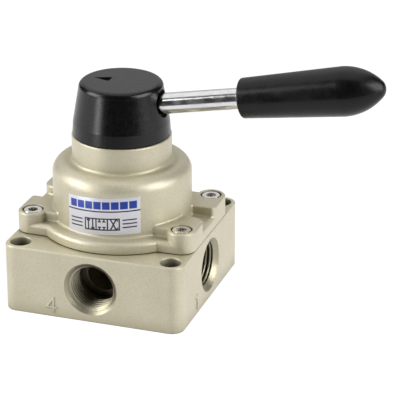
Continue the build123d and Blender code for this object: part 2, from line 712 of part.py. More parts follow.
def main():
    os.makedirs("parts", exist_ok=True)
    save("base_block", make_base_block())
    save("port_plate", make_port_plate())
    save("plate_dowels", make_plate_dowels())
    save("port_seals", make_port_seals())
    save("cover_seal", make_cover_seal())
    save("valve_cover", make_valve_cover())
    save("cover_screws", make_cover_screws())
    save("neck_bush", make_neck_bush())
    save("wiper_ring", make_wiper_ring())
    save("thrust_washer", make_thrust_washer())
    save("stop_pin", make_stop_pin())
    save("spindle", make_spindle())
    save("spindle_seal", make_spindle_seal())
    save("rotor_disc", make_rotor_disc())
    save("drive_pins", make_drive_pins())
    save("rotor_spring", make_rotor_spring())
    save("lever_hub", make_lever_hub())
    save("lever_rod", make_lever_rod())
    save("lever_grip", make_lever_grip())
    save("grip_insert", make_grip_insert())
    for side, letter in ((1, "a"), (-1, "b")):
        save(f"detent_ball_{letter}", make_detent_ball(side))
        save(f"detent_spring_{letter}", make_detent_spring(side))


main()
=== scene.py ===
import json
from math import atan2, cos, pi, radians, sin, tan

import bpy
from mathutils import Matrix, Vector


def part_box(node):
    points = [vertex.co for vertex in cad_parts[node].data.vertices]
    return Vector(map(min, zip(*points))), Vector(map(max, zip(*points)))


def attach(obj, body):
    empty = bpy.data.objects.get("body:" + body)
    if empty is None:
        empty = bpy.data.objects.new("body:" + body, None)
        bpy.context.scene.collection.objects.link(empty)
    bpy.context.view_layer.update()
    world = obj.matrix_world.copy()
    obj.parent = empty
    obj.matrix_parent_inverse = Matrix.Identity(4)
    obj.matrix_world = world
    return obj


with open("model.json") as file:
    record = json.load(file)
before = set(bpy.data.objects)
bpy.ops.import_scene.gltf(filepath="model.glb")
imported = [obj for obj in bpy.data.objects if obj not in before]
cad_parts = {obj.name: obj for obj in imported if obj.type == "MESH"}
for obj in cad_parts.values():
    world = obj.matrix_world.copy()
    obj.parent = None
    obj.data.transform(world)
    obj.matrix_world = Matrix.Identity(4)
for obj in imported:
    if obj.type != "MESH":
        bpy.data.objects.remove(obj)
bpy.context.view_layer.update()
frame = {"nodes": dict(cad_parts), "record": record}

bl_info = {
    "name": "Hand lever air valve",
    "version": (1, 0, 0),
    "blender": (4, 5, 0),
    "location": "View3D > Sidebar > Air valve",
    "description": "Adds threads and a label to the valve and gives each surface its finish",
    "category": "Add Mesh",
}

# Facts read from the frame
MM = 0.001
MOUNTS = {mount["name"]: mount for mount in frame["record"]["mounts"]}
PORTS = ("port_front", "port_right", "port_back", "port_left")
BLOCK_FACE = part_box("base_block")[1].x
PORT_LEVEL = MOUNTS["port_front"]["pos_m"][2]
PORT_RADIUS = MOUNTS["port_front"]["dims"]["r_mm"] * MM

# Point that the camera and the lamps face
CAMERA_TARGET = Vector((31.73, 10.61, 39.97)) * MM

# Satin paint: its share of metal, its clear coat and the height of its grain
PAINT_METALLIC = 0.45
PAINT_COAT = 0.2
PAINT_COAT_ROUGHNESS = 0.26
PAINT_GRAIN = 0.06 * MM
PAINT_GRAIN_STRENGTH = 0.7

# Share of metal in the machined ports and threads
MACHINED_METALLIC = 0.8


def length(name, description, metres):
    """A size that a user may change."""
    return bpy.props.FloatProperty(
        name=name, description=description, default=metres, min=0.0, unit="LENGTH"
    )


def angle(name, description, degrees):
    """An angle that a user may change."""
    return bpy.props.FloatProperty(
        name=name, description=description, default=radians(degrees), subtype="ANGLE"
    )


def colour(name, description, red, green, blue):
    """A colour that a user may change."""
    return bpy.props.FloatVectorProperty(
        name=name, description=description, default=(red, green, blue), min=0.0, max=1.0, subtype="COLOR"
    )


def whole(name, description, count):
    """A number of like things that a user may change."""
    return bpy.props.IntProperty(name=name, description=description, default=count, min=1)


def power(name, description, watts):
    """A lamp's power that a user may change."""
    return bpy.props.FloatProperty(name=name, description=description, default=watts, min=0.0, unit="POWER")


class ValveFinishes(bpy.types.PropertyGroup):
    """Colours of the valve's surfaces."""

    paint: colour("Paint", "Champagne paint of the castings", 0.60, 0.555, 0.415)
    # Darker tone for the paint's random clouds and specks, and the colour of painted shade in its hollows
    paint_dark_and_shade: colour("Paint, deep", "Darker tone in hollows and along joints", 0.33, 0.295, 0.17)
    # Colour of painted shade, near black, deep in holes, thread roots and creases
    hollow_shade: colour("Hollow", "Dark tone deep in holes and joints", 0.05, 0.042, 0.024)
    # Also the colour of the painted highlight on rounded edges of the paint and on thread crests
    paint_flake_and_highlight: colour("Paint, edge", "Flakes in the paint and thin paint on rounded edges", 0.74, 0.70, 0.57)
    bare_metal: colour("Bare metal", "Machined aluminium in the ports", 0.41, 0.375, 0.27)
    nickel: colour("Nickel", "Plating of the cover screws", 0.84, 0.82, 0.77)
    hub: colour("Hub", "Satin black of the turning hub", 0.003, 0.003, 0.0032)
    grip: colour("Grip", "Moulded black of the grip", 0.004, 0.004, 0.004)
    chrome: colour("Chrome", "Plating of the lever rod", 0.70, 0.70, 0.71)
    steel: colour("Steel", "Ground steel of the inner pieces", 0.52, 0.52, 0.53)
    bronze: colour("Bronze", "Bush, washer and rotor", 0.58, 0.38, 0.17)
    brass: colour("Brass", "Threaded insert in the grip", 0.72, 0.53, 0.22)
    rubber: colour("Rubber", "Seals and wiper ring", 0.018, 0.018, 0.018)
    label: colour("Label", "Silver grey of the label", 0.75, 0.75, 0.81)
    label_fleck: colour("Label flecks", "Slightly darker flecks in the label", 0.70, 0.70, 0.74)
    label_blocks: colour("Label blocks", "Blue blocks along the top of the label", 0.018, 0.055, 0.36)
    label_ink: colour("Label ink", "Dark print on the label", 0.02, 0.02, 0.03)


class ValveThread(bpy.types.PropertyGroup):
    """Pipe thread in the ports."""

    pitch: length("Pitch", "Distance from one turn to the next", 1.814 * MM)
    depth: length("Depth", "Height of the thread's ridge", 1.162 * MM)
    root: length("Root width", "Width of the ridge at the bore's wall", 1.66 * MM)
    crest: length("Crest width", "Width of the ridge at its crest", 0.5 * MM)
    crest_round: length("Crest rounding", "Rounding of the crest's corners", 0.16 * MM)
    lead_in: length("Lead-in", "Depth of the rim's chamfer", 1.4 * MM)
    turns: whole("Turns", "Turns of thread in each port", 7)
    steps: whole("Steps", "Steps in one turn", 56)


class ValveLabel(bpy.types.PropertyGroup):
    """Plain label on the round housing."""

    radius: length("Radius", "Radius of the housing's wall", 30.0 * MM)
    low: length("Lower edge", "Level of the label's lower edge", 36.3 * MM)
    height: length("Height", "Height of the label", 16.7 * MM)
    thickness: length("Thickness", "Thickness of the label", 0.16 * MM)
    middle: angle("Middle", "Azimuth of the label's middle", -86.5)
    spread: angle("Spread", "Angle that the label covers", 63.0)
    tilt: angle("Tilt", "Tilt of the label on the wall", 3.6)
    steps: whole("Steps", "Steps along the label", 48)
    blocks: whole("Blocks", "Blue blocks in a row", 8)


class ValveLever(bpy.types.PropertyGroup):
    """Line of the lever, which the finish of its rod and grip follows."""

    level: length("Level", "Level at which the lever's line meets the spindle's axis", 83.2 * MM)
    tilt: angle("Tilt", "Rise of the lever from level", 10.6)


class ValveStage(bpy.types.PropertyGroup):
    """Camera and light."""

    azimuth: angle("Azimuth", "Camera azimuth", 18.49)
    elevation: angle("Elevation", "Camera elevation", 23.178)
    roll: angle("Roll", "Camera roll", 0.097)
    distance: length("Distance", "Camera distance from its target", 875.07 * MM)
    lens: bpy.props.FloatProperty(name="Lens", description="Focal length", default=181.87, unit="CAMERA")
    floor_size: length("Floor", "Side of the floor", 6.0)
    sky: bpy.props.FloatProperty(name="Sky", description="Light of the room on matt surfaces", default=0.04)
    left_power: power("Left lamp", "Power of the soft lamp on the left", 18.4)
    right_power: power("Right lamp", "Power of the soft lamp on the right", 23.6)


SETTINGS = {
    "valve_finishes": ValveFinishes,
    "valve_thread": ValveThread,
    "valve_label": ValveLabel,
    "valve_lever": ValveLever,
    "valve_stage": ValveStage,
}


def times(share, tint):
    """A colour made lighter or darker by a share."""
    return tuple(share * part for part in tint)


def is_output(value):
    """Whether a value comes from another node."""
    return isinstance(value, bpy.types.NodeSocket)


class Board:
    """Adds nodes to one shader tree and joins them."""

    def __init__(self, tree):
        self.tree = tree

    def feed(self, node, inputs):
        """Set a node's inputs, each to a value or to another node's output."""
        for name, value in inputs.items():
            if is_output(value):
                self.tree.links.new(value, node.inputs[name])
            else:
                node.inputs[name].default_value = value

    def add(self, kind, inputs=None, **fields):
        """Add a node, set its fields and feed its inputs."""
        node = self.tree.nodes.new(kind)
        for field, value in fields.items():
            setattr(node, field, value)
        self.feed(node, inputs or {})
        return node

    def place(self):
        """Where a point of the surface lies, in metres."""
        return self.add("ShaderNodeTexCoord").outputs["Object"]

    def maths(self, operation, *values, clamp=False):
        """One calculation on plain values."""
        node = self.add("ShaderNodeMath", dict(enumerate(values)), operation=operation, use_clamp=clamp)
        return node.outputs[0]

    def vector(self, operation, *values):
        """One calculation on vectors, which gives a value or a vector."""
        node = self.add("ShaderNodeVectorMath", dict(enumerate(values)), operation=operation)
        single = operation in ("LENGTH", "DOT_PRODUCT", "DISTANCE")
        return node.outputs["Value" if single else "Vector"]

    def blend(self, share, first, second):
        """One colour turning into another. A Mix node's colours are its inputs 6 and 7."""
        first = first if is_output(first) else (*first, 1.0)
        second = second if is_output(second) else (*second, 1.0)
        return self.add("ShaderNodeMix", {0: share, 6: first, 7: second}, data_type="RGBA").outputs[2]

    def between(self, share, first, second):
        """One value turning into another. A Mix node's values are its inputs 2 and 3."""
        return self.add("ShaderNodeMix", {0: share, 2: first, 3: second}).outputs[0]

    def span(self, value, low, high, first=0.0, last=1.0):
        """A value's range mapped onto another range."""
        inputs = {"Value": value, "From Min": low, "From Max": high, "To Min": first, "To Max": last}
        return self.add("ShaderNodeMapRange", inputs).outputs["Result"]

    def shared(self, make, **inputs):
        """Place a shared effect with its own values."""
        return self.add("ShaderNodeGroup", inputs, node_tree=make()).outputs

    def hollows(self, reach, clear, full):
        """Mask of hollows, from where it starts to where it is full."""
        return self.shared(occlusion_shade, Reach=reach, Clear=clear, Full=full)["Mask"]

    def bump(self, height, distance, strength=1.0, normal=None):
        """A normal that leans with a height, on top of another normal where one is given."""
        inputs = {"Height": height, "Distance": distance, "Strength": strength}
        if normal is not None:
            inputs["Normal"] = normal
        return self.add("ShaderNodeBump", inputs).outputs["Normal"]


def effect(name, inputs, outputs):
    """Turn a function that fills a tree into one that makes the shared effect once and returns it."""

    def wrap(fill):
        def make():
            if name in bpy.data.node_groups:
                return bpy.data.node_groups[name]
            tree = bpy.data.node_groups.new(name, "ShaderNodeTree")
            for label, value in inputs.items():
                kind = "NodeSocketVector" if value is None else "NodeSocketFloat"
                socket = tree.interface.new_socket(label, in_out="INPUT", socket_type=kind)
                if value is not None:
                    socket.default_value = value
            for label in outputs:
                tree.interface.new_socket(label, in_out="OUTPUT", socket_type="NodeSocketFloat")
            entry = tree.nodes.new("NodeGroupInput").outputs
            end = tree.nodes.new("NodeGroupOutput")
            fill(Board(tree), entry, end)
            return tree

        return make

    return wrap


@effect("Valve grain", {"Vector": None, "Size": 1 * MM}, ("Tone", "Height"))
def grain(board, entry, end):
    """Uneven tone and height at one size."""
    scale = board.maths("DIVIDE", 1.0, entry["Size"])
    noise = board.add("ShaderNodeTexNoise", {"Vector": entry["Vector"], "Scale": scale, "Detail": 3.0})
    board.feed(end, {"Tone": board.span(noise.outputs[0], 0.36, 0.64), "Height": noise.outputs[0]})


@effect("Valve streaks", {"Vector": None, "Across": 0.3 * MM, "Along": 10 * MM}, ("Tone",))
def streaks(board, entry, end):
    """Fine lines along Z, as a tool or a die leaves them."""
    across = board.maths("DIVIDE", 1.0, entry["Across"])
    along = board.maths("DIVIDE", 1.0, entry["Along"])
    stretch = board.add("ShaderNodeCombineXYZ", {0: across, 1: across, 2: along}).outputs[0]
    point = board.vector("MULTIPLY", entry["Vector"], stretch)
    noise = board.add("ShaderNodeTexNoise", {"Vector": point, "Scale": 1.0, "Detail": 2.0})
    board.feed(end, {"Tone": board.span(noise.outputs[0], 0.34, 0.66)})


@effect("Valve edge lean", {"Radius": 0.6 * MM, "Gain": 4.0}, ("Mask",))
def edge_lean(board, entry, end):
    """Mask of edges and corners, from how far a rounded normal leans from the true one."""
    rounded = board.add("ShaderNodeBevel", {"Radius": entry["Radius"]}, samples=6).outputs[0]
    true = board.add("ShaderNodeNewGeometry").outputs["Normal"]
    lean = board.maths("SUBTRACT", 1.0, board.vector("DOT_PRODUCT", rounded, true))
    board.feed(end, {"Mask": board.maths("MULTIPLY", lean, entry["Gain"], clamp=True)})


@effect("Valve occlusion shade", {"Reach": 3 * MM, "Clear": 0.9, "Full": 0.25}, ("Mask",))
def occlusion_shade(board, entry, end):
    """Mask of hollows and inner corners, where shade is painted in."""
    shade = board.add("ShaderNodeAmbientOcclusion", {"Distance": entry["Reach"]}, samples=8)
    board.feed(end, {"Mask": board.span(shade.outputs["AO"], entry["Clear"], entry["Full"])})


@effect("Valve ink stroke", {"Vector": None, "Start": None, "End": None, "Width": 0.3}, ("Mask",))
def ink_stroke(board, entry, end):
    """Mask of one straight printed line."""
    soft_edge = 0.05
    run = board.vector("SUBTRACT", entry["End"], entry["Start"])
    reach = board.vector("SUBTRACT", entry["Vector"], entry["Start"])
    along = board.vector("DOT_PRODUCT", reach, run)
    share = board.maths("DIVIDE", along, board.vector("DOT_PRODUCT", run, run), clamp=True)
    nearest = board.add("ShaderNodeVectorMath", {0: run, "Scale": share}, operation="SCALE").outputs["Vector"]
    away = board.vector("LENGTH", board.vector("SUBTRACT", reach, nearest))
    half = board.maths("MULTIPLY", entry["Width"], 0.5)
    board.feed(end, {"Mask": board.span(away, board.maths("ADD", half, soft_edge), half)})


def new_material(name):
    """A material with its board and its Principled shader."""
    material = bpy.data.materials.new(name)
    material.use_nodes = True
    return material, Board(material.node_tree), material.node_tree.nodes["Principled BSDF"]


def paint_layers(board, place, finishes):
    """Colour, roughness and normal of the champagne paint, with painted shade in hollows and creases and a
    painted highlight on rounded edges.
    """
    flakes = board.shared(grain, Vector=place, Size=0.28 * MM)
    cast = board.shared(grain, Vector=place, Size=1.1 * MM)
    clouds = board.shared(grain, Vector=place, Size=14 * MM)
    tone = board.blend(board.span(clouds["Tone"], 0, 1, 0.0, 0.16), finishes.paint, finishes.paint_dark_and_shade)
    tone = board.blend(board.span(flakes["Tone"], 0, 1, 0.0, 0.3), tone, finishes.paint_flake_and_highlight)
    specks = board.shared(grain, Vector=place, Size=0.55 * MM)
    tone = board.blend(board.span(specks["Tone"], 0.7, 1, 0.0, 0.3), tone, finishes.paint_dark_and_shade)
    # Painted shade: darker paint in hollows and inner corners
    shade_mask = board.hollows(reach=8 * MM, clear=0.95, full=0.35)
    tone = board.blend(board.maths("MULTIPLY", shade_mask, 0.7), tone, finishes.paint_dark_and_shade)
    # Painted shade, near black, in tight creases and along joints
    crease_shade = board.hollows(reach=0.9 * MM, clear=0.62, full=0.3)
    tone = board.blend(crease_shade, tone, finishes.hollow_shade)
    # Painted highlight: lighter paint along rounded edges
    edge_mask = board.shared(edge_lean, Radius=0.5 * MM, Gain=2.0)["Mask"]
    tone = board.blend(board.maths("MULTIPLY", edge_mask, 0.5), tone, finishes.paint_flake_and_highlight)
    roughness = board.span(flakes["Tone"], 0, 1, 0.42, 0.55)
    height = board.maths("MULTIPLY_ADD", flakes["Height"], 0.35, cast["Height"])
    rounded = board.add("ShaderNodeBevel", {"Radius": 0.55 * MM}, samples=6).outputs[0]
    normal = board.bump(height, PAINT_GRAIN, PAINT_GRAIN_STRENGTH, rounded)
    return tone, roughness, normal


def painted_cover(finishes):
    """Champagne paint on the cover casting."""
    material, board, surface = new_material("champagne_paint")
    tone, roughness, normal = paint_layers(board, board.place(), finishes)
    board.feed(surface, {"Base Color": tone, "Metallic": PAINT_METALLIC, "Roughness": roughness})
    board.feed(surface, {"Normal": normal, "Coat Weight": PAINT_COAT, "Coat Roughness": PAINT_COAT_ROUGHNESS})
    return material


def machined_layers(board, place, finishes, lathe_axis):
    """Colour, roughness and height of metal turned about an axis."""
    axis = [0.0, 0.0, 0.0]
    axis[lathe_axis] = 1.0
    depth = board.vector("DOT_PRODUCT", place, tuple(axis))
    fine_lines = {"W": depth, "Scale": 5200.0, "Detail": 2.0}
    lines = board.add("ShaderNodeTexNoise", fine_lines, noise_dimensions="1D")
    rings = board.span(lines.outputs[0], 0.35, 0.65)
    mottle = board.shared(grain, Vector=place, Size=1.6 * MM)["Tone"]
    dark = times(0.72, finishes.bare_metal)
    tone = board.blend(board.maths("MULTIPLY", rings, 0.35), finishes.bare_metal, dark)
    tone = board.blend(board.maths("MULTIPLY", mottle, 0.2), tone, dark)
    roughness = board.span(rings, 0, 1, 0.36, 0.52)
    return tone, roughness, rings


def from_axis(board, place, keep):
    """Distance from a port's axis, which runs along the direction that keep leaves out."""
    centred = board.vector("SUBTRACT", place, (0.0, 0.0, PORT_LEVEL))
    return board.vector("LENGTH", board.vector("MULTIPLY", centred, keep))


def painted_block(finishes, thread):
    """Champagne paint on the block, with bare machined metal in the ports and underneath, and painted shade
    at the thread roots and deep in the holes.
    """
    material, board, surface = new_material("champagne_paint_and_bores")
    place = board.place()
    tone, roughness, normal = paint_layers(board, place, finishes)
    rim = PORT_RADIUS + thread.lead_in
    along_x = from_axis(board, place, (0.0, 1.0, 1.0))
    along_y = from_axis(board, place, (1.0, 0.0, 1.0))
    nearest = board.maths("MINIMUM", along_x, along_y)
    in_port = board.span(nearest, rim + 0.08 * MM, rim - 0.02 * MM)
    level = board.vector("DOT_PRODUCT", place, (0.0, 0.0, 1.0))
    underneath = board.span(level, 0.12 * MM, 0.04 * MM)
    bare = board.maths("MAXIMUM", in_port, underneath)
    metal, metal_roughness, _ = machined_layers(board, place, finishes, 0)
    # Painted shade at the roots of the thread in the bore wall
    root = board.hollows(reach=1.6 * MM, clear=0.8, full=0.4)
    metal = board.blend(board.maths("MULTIPLY", root, 0.85), metal, finishes.hollow_shade)
    # Painted shade deep in the ports and mounting holes
    hole_shade = board.hollows(reach=13 * MM, clear=0.52, full=0.18)
    tone = board.blend(hole_shade, board.blend(bare, tone, metal), finishes.hollow_shade)
    roughness = board.between(bare, roughness, metal_roughness)
    metallic = board.span(bare, 0, 1, PAINT_METALLIC, MACHINED_METALLIC)
    coat = board.span(bare, 0, 1, PAINT_COAT, 0.0)
    board.feed(surface, {"Base Color": tone, "Metallic": metallic, "Roughness": roughness})
    board.feed(surface, {"Normal": normal, "Coat Weight": coat, "Coat Roughness": PAINT_COAT_ROUGHNESS})
    return material


def machined_thread(finishes, lathe_axis):
    """Bare metal of a cut thread, with a painted highlight on its crests and painted shade at its roots and
    deep in the port.
    """
    material, board, surface = new_material(f"cut_thread_{'xyz'[lathe_axis]}")
    tone, roughness, rings = machined_layers(board, board.place(), finishes, lathe_axis)
    # Painted highlight on the thread's crests
    edge_mask = board.shared(edge_lean, Radius=0.2 * MM, Gain=3.0)["Mask"]
    tone = board.blend(board.maths("MULTIPLY", edge_mask, 0.6), tone, finishes.paint_flake_and_highlight)
    # Painted shade at the thread's roots
    root = board.hollows(reach=1.3 * MM, clear=0.75, full=0.35)
    tone = board.blend(board.maths("MULTIPLY", root, 0.85), tone, finishes.hollow_shade)
    # Painted shade deep in the port
    deep = board.hollows(reach=13 * MM, clear=0.5, full=0.15)
    tone = board.blend(deep, tone, finishes.hollow_shade)
    normal = board.bump(rings, 0.006 * MM)
    board.feed(surface, {"Base Color": tone, "Metallic": MACHINED_METALLIC, "Roughness": roughness})
    board.feed(surface, {"Normal": normal})
    return material


def plated(name, tint, smoothest, roughest, cloud_size, turn=0.0):
    """Bright plating with faint clouding and wiped streaks along Z, or turned about Y, and painted shade,
    near black, in hollows such as sockets and gaps.
    """
    material, board, surface = new_material(name)
    place = board.add("ShaderNodeMapping", {"Vector": board.place(), "Rotation": (0.0, turn, 0.0)}).outputs[0]
    cloud = board.shared(grain, Vector=place, Size=cloud_size)["Tone"]
    lines = board.shared(streaks, Vector=place, Across=0.12 * MM, Along=2.5 * MM)["Tone"]
    # Painted shade, near black, in sockets, gaps and other hollows
    shade_mask = board.hollows(reach=2.4 * MM, clear=0.7, full=0.3)
    tone = board.blend(board.maths("MULTIPLY", cloud, 0.25), tint, times(0.7, tint))
    tone = board.blend(board.maths("MULTIPLY", shade_mask, 0.95), tone, times(0.05, tint))
    both = board.maths("MULTIPLY_ADD", lines, 0.4, board.maths("MULTIPLY", cloud, 0.6))
    roughness = board.span(both, 0, 1, smoothest, roughest)
    normal = board.bump(lines, 0.002 * MM)
    board.feed(surface, {"Base Color": tone, "Metallic": 1.0, "Roughness": roughness, "Normal": normal})
    return material


def satin_hub(finishes):
    """Satin black coat on the hub, a little mottled, with soft vertical marks."""
    material, board, surface = new_material("satin_black_coat")
    place = board.place()
    mottle = board.shared(grain, Vector=place, Size=1.6 * MM)
    marks = board.shared(streaks, Vector=place, Across=0.5 * MM, Along=9 * MM)["Tone"]
    edge_mask = board.shared(edge_lean, Radius=0.6 * MM, Gain=2.5)["Mask"]
    share = board.maths("MULTIPLY_ADD", marks, 0.25, board.maths("MULTIPLY", mottle["Tone"], 0.1))
    tone = board.blend(share, finishes.hub, times(2.6, finishes.hub))
    tone = board.blend(board.maths("MULTIPLY", edge_mask, 0.35), tone, times(4, finishes.hub))
    roughness = board.span(board.maths("ADD", mottle["Tone"], marks), 0, 2, 0.2, 0.3)
    height = board.maths("MULTIPLY_ADD", marks, 0.5, mottle["Height"])
    normal = board.bump(height, 0.004 * MM, 0.2)
    board.feed(surface, {"Base Color": tone, "Roughness": roughness, "Normal": normal})
    board.feed(surface, {"Specular IOR Level": 0.35})
    return material


def moulded_grip(finishes, lever):
    """Semi-gloss black grip with its mould's parting line along both sides."""
    material, board, surface = new_material("moulded_black")
    place = board.place()
    skin = board.shared(grain, Vector=place, Size=0.5 * MM)
    cloud = board.shared(grain, Vector=place, Size=6 * MM)["Tone"]
    level = board.vector("DOT_PRODUCT", place, (-sin(lever.tilt), 0.0, cos(lever.tilt)))
    off_plane = board.maths("ABSOLUTE", board.maths("SUBTRACT", level, lever.level * cos(lever.tilt)))
    seam = board.span(off_plane, 0.32 * MM, 0.08 * MM)
    flash = board.span(off_plane, 0.22 * MM, 0.04 * MM)
    tone = board.blend(board.maths("MULTIPLY", cloud, 0.5), finishes.grip, times(2.4, finishes.grip))
    tone = board.blend(board.maths("MULTIPLY", seam, 0.7), tone, finishes.grip)
    roughness = board.span(board.maths("MULTIPLY_ADD", seam, 0.8, cloud), 0, 1.8, 0.25, 0.4)
    height = board.maths("MULTIPLY_ADD", flash, 2.2, skin["Height"])
    normal = board.bump(height, 0.02 * MM, 0.5)
    board.feed(surface, {"Base Color": tone, "Roughness": roughness, "Normal": normal})
    board.feed(surface, {"Specular IOR Level": 0.25})
    return material


def soft_rubber(finishes):
    """Matt rubber of seals and wiper."""
    material, board, surface = new_material("matt_rubber")
    skin = board.shared(grain, Vector=board.place(), Size=0.4 * MM)
    share = board.maths("MULTIPLY", skin["Tone"], 0.5)
    tone = board.blend(share, finishes.rubber, times(2.5, finishes.rubber))
    normal = board.bump(skin["Height"], 0.02 * MM, 0.6)
    roughness = board.span(skin["Tone"], 0, 1, 0.62, 0.8)
    board.feed(surface, {"Base Color": tone, "Roughness": roughness, "Normal": normal})
    return material


def segment(low, high, level):
    """A level printed line, in millimetres on the label."""
    return (low, level), (high, level)


def arrow(x, foot, tip, lean=0.0):
    """An arrow from its foot to its tip, leaning by a share of its rise."""
    wing_out = 0.55
    wing_back = 0.9
    rise = tip - foot
    end = (x + lean * rise, tip)
    back = -wing_back if rise > 0 else wing_back
    wings = [((end[0] + side * wing_out, tip + back), end) for side in (-1, 1)]
    return [((x, foot), end), *wings]


def flow_symbol(left, low, side):
    """Strokes of a plain flow symbol: a straight, a closed and a crossed box, placed by shares of a box."""
    bar_half = 0.5
    high = low + side
    strokes = [segment(left, left + 3 * side, level) for level in (low, high)]
    strokes += [((left + step * side, low), (left + step * side, high)) for step in range(4)]
    strokes += arrow(left + 0.3 * side, low, high)
    strokes += arrow(left + 0.7 * side, high, low)
    strokes += arrow(left + 2.25 * side, low, high, 0.5)
    strokes += arrow(left + 2.25 * side, high, low, -0.5)
    for x in (left + 1.3 * side, left + 1.7 * side):
        for edge, turn in ((low, 1), (high, -1)):
            stop = edge + turn * 0.25 * side
            strokes += [((x, edge), (x, stop)), segment(x - bar_half, x + bar_half, stop)]
    return strokes


def label_strokes(width, height):
    """The label's rule, its flow symbol and the short lines beside it, in millimetres."""
    box = 5.0
    box_foot = 0.14 * height
    rule_inset = 0.2
    rule_level = 0.635 * height
    line_start = 1.8
    line_end = 7.4
    levels = [share * height for share in (0.2, 0.3, 0.4)]
    strokes = [segment(rule_inset, width - rule_inset, rule_level)]
    strokes += flow_symbol(width / 2 - 1.5 * box, box_foot, box)
    strokes += [segment(line_start, line_end, level) for level in levels]
    strokes += [segment(width - line_end, width - line_start, level) for level in levels]
    return strokes


def block_row(board, x, y, width, height, blocks):
    """Mask of the row of plain blocks along the top of the label, in millimetres."""
    margin = 1.2
    half_gap = 0.22
    half_height = 1.65
    soft_gap = 0.08
    soft_edge = 0.1
    row_level = 0.8 * height
    row_end = width / 2 - margin
    pitch = (width - 2 * margin) / blocks
    from_gap = board.maths("PINGPONG", board.maths("SUBTRACT", x, margin), pitch / 2)
    from_middle = board.maths("ABSOLUTE", board.maths("SUBTRACT", x, width / 2))
    off_level = board.maths("ABSOLUTE", board.maths("SUBTRACT", y, row_level))
    between_gaps = board.span(from_gap, half_gap, half_gap + soft_gap)
    in_row = board.span(off_level, half_height + soft_edge, half_height)
    in_margins = board.span(from_middle, row_end, row_end - soft_edge)
    return board.maths("MULTIPLY", board.maths("MULTIPLY", between_gaps, in_row), in_margins)


def printed_label(finishes, label):
    """Silver label with a row of blue blocks, a rule, a plain flow symbol and short lines."""
    material, board, surface = new_material("printed_label")
    width = label.spread * label.radius / MM
    height = label.height / MM
    unit = board.add("ShaderNodeUVMap", uv_map="print").outputs[0]
    spot = board.vector("MULTIPLY", unit, (width, height, 0.0))
    x = board.vector("DOT_PRODUCT", spot, (1.0, 0.0, 0.0))
    y = board.vector("DOT_PRODUCT", spot, (0.0, 1.0, 0.0))
    row = block_row(board, x, y, width, height, label.blocks)
    ink = None
    for start, end in label_strokes(width, height):
        ends = {"Start": (*start, 0.0), "End": (*end, 0.0)}
        mask = board.shared(ink_stroke, Vector=spot, Width=0.55, **ends)["Mask"]
        ink = mask if ink is None else board.maths("MAXIMUM", ink, mask)
    fleck = board.shared(grain, Vector=board.place(), Size=0.5 * MM)
    tone = board.blend(board.maths("MULTIPLY", fleck["Tone"], 0.18), finishes.label, finishes.label_fleck)
    tone = board.blend(row, tone, finishes.label_blocks)
    tone = board.blend(ink, tone, finishes.label_ink)
    roughness = board.span(fleck["Tone"], 0, 1, 0.32, 0.42)
    normal = board.bump(fleck["Height"], 0.01 * MM, 0.4)
    board.feed(surface, {"Base Color": tone, "Metallic": 0.15, "Roughness": roughness, "Normal": normal})
    return material


def dress(node, material):
    """Give a frame node its finish."""
    mesh = frame["nodes"][node].data
    mesh.materials.clear()
    mesh.materials.append(material)


def deselect():
    """Leave edit mode and select nothing."""
    if bpy.context.object and bpy.context.object.mode != "OBJECT":
        bpy.ops.object.mode_set(mode="OBJECT")
    bpy.ops.object.select_all(action="DESELECT")


def pick(obj):
    """Make one object the only selected and active one."""
    deselect()
    obj.select_set(True)
    bpy.context.view_layer.objects.active = obj


def select_where(obj, test):
    """In edit mode's vertex selection, pick the vertices that pass a test."""
    bpy.ops.object.mode_set(mode="OBJECT")
    for part in (obj.data.polygons, obj.data.edges):
        part.foreach_set("select", [False] * len(part))
    for vertex in obj.data.vertices:
        vertex.select = test(vertex.co)
    bpy.ops.object.mode_set(mode="EDIT")
    bpy.ops.mesh.select_mode(type="VERT")


def add_modifier(obj, kind, **fields):
    """Add a modifier with its settings and apply it."""
    pick(obj)
    bpy.ops.object.modifier_add(type=kind)
    modifier = obj.modifiers[-1]
    for field, value in fields.items():
        setattr(modifier, field, value)
    bpy.ops.object.modifier_apply(modifier=modifier.name)


def close_up(obj):
    """Merge doubles, close the ends and turn all faces outwards."""
    pick(obj)
    bpy.ops.object.mode_set(mode="EDIT")
    bpy.ops.mesh.select_all(action="SELECT")
    bpy.ops.mesh.remove_doubles(threshold=1e-7)
    bpy.ops.mesh.fill_holes(sides=0)
    bpy.ops.mesh.select_all(action="SELECT")
    bpy.ops.mesh.normals_make_consistent(inside=False)
    bpy.ops.object.mode_set(mode="OBJECT")


def settle(obj, place=None):
    """Move a finished piece and put its place into its mesh."""
    pick(obj)
    if place is not None:
        obj.matrix_world = place @ obj.matrix_world
    bpy.ops.object.transform_apply(location=True, rotation=True, scale=True)
    bpy.ops.object.shade_smooth_by_angle(angle=radians(35))


def join_object(obj, name, body, material):
    """Name a finished piece, give it its finish and let it ride on its body."""
    obj.name = name
    obj.data.name = name
    obj.data.materials.clear()
    obj.data.materials.append(material)
    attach(obj, body)


class AIRVALVE_OT_castings(bpy.types.Operator):
    """Paint the block and the cover, and bare the ports"""

    bl_idname = "airvalve.castings"
    bl_label = "Castings"

    def execute(self, context):
        scene = context.scene
        dress("base_block", painted_block(scene.valve_finishes, scene.valve_thread))
        dress("valve_cover", painted_cover(scene.valve_finishes))
        return {"FINISHED"}


